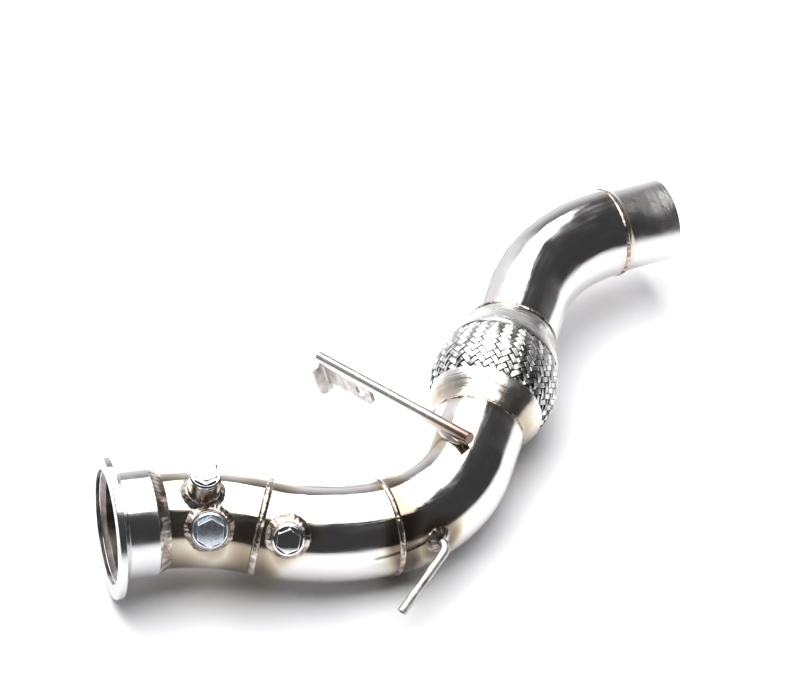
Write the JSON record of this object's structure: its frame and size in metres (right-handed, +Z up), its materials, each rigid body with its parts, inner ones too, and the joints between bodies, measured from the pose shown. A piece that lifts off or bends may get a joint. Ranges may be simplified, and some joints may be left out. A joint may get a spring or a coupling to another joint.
{
  "type": "catalyst bypass pipe",
  "caption": "Polished stainless downpipe that takes the place of a catalyst, with a clamp flange, bent tubes, a braided flex joint, plugged sensor bosses and a hanger.",
  "frame": {"origin": "centre of the inlet flange's face, on the inlet axis", "axes": "+Z up from the table that the pipe rests on, +X level and into the pipe along the inlet in plan, +Y completes the frame, towards the side the main bend turns to"},
  "size_m": [0.4587, 0.3347, 0.1005],
  "materials": {
    "polished_tube": "mirror polished stainless with straw heat tint near the welds",
    "turned_steel": "turned and polished stainless",
    "weld": "rippled weld bead with a straw and brown tint",
    "boss_steel": "turned stainless",
    "plug_steel": "bright hexagon plug",
    "plug_zinc": "matt blue-grey zinc plate",
    "cap_steel": "spun stainless",
    "braid": "bright flat-wire weave",
    "inner_steel": "plain stainless sheet",
    "rod_steel": "polished bar"
  },
  "bodies": {
    "root": {"inlet_flange": "turned_steel", "inlet_weld": "weld", "pipe_1": "polished_tube", "upper_boss": "boss_steel", "upper_plug": "plug_steel", "upper_boss_weld": "weld", "lambda_boss": "boss_steel", "lambda_plug": "plug_zinc", "lambda_boss_weld": "weld", "weld_1": "weld", "pipe_2": "polished_tube", "lower_boss": "boss_steel", "lower_plug": "plug_steel", "lower_boss_weld": "weld", "weld_2": "weld", "pipe_3": "polished_tube", "pressure_pipe": "rod_steel", "pressure_weld": "weld", "hanger_rod": "rod_steel", "rod_weld": "weld", "bracket": "rod_steel", "weld_3": "weld", "flex_lower_cap": "cap_steel", "flex_braid": "braid", "flex_bellows": "inner_steel", "flex_liner": "inner_steel", "flex_upper_cap": "cap_steel", "weld_4": "weld", "pipe_4": "polished_tube", "weld_5": "weld", "outlet_stub": "polished_tube"}
  },
  "joints": []
}
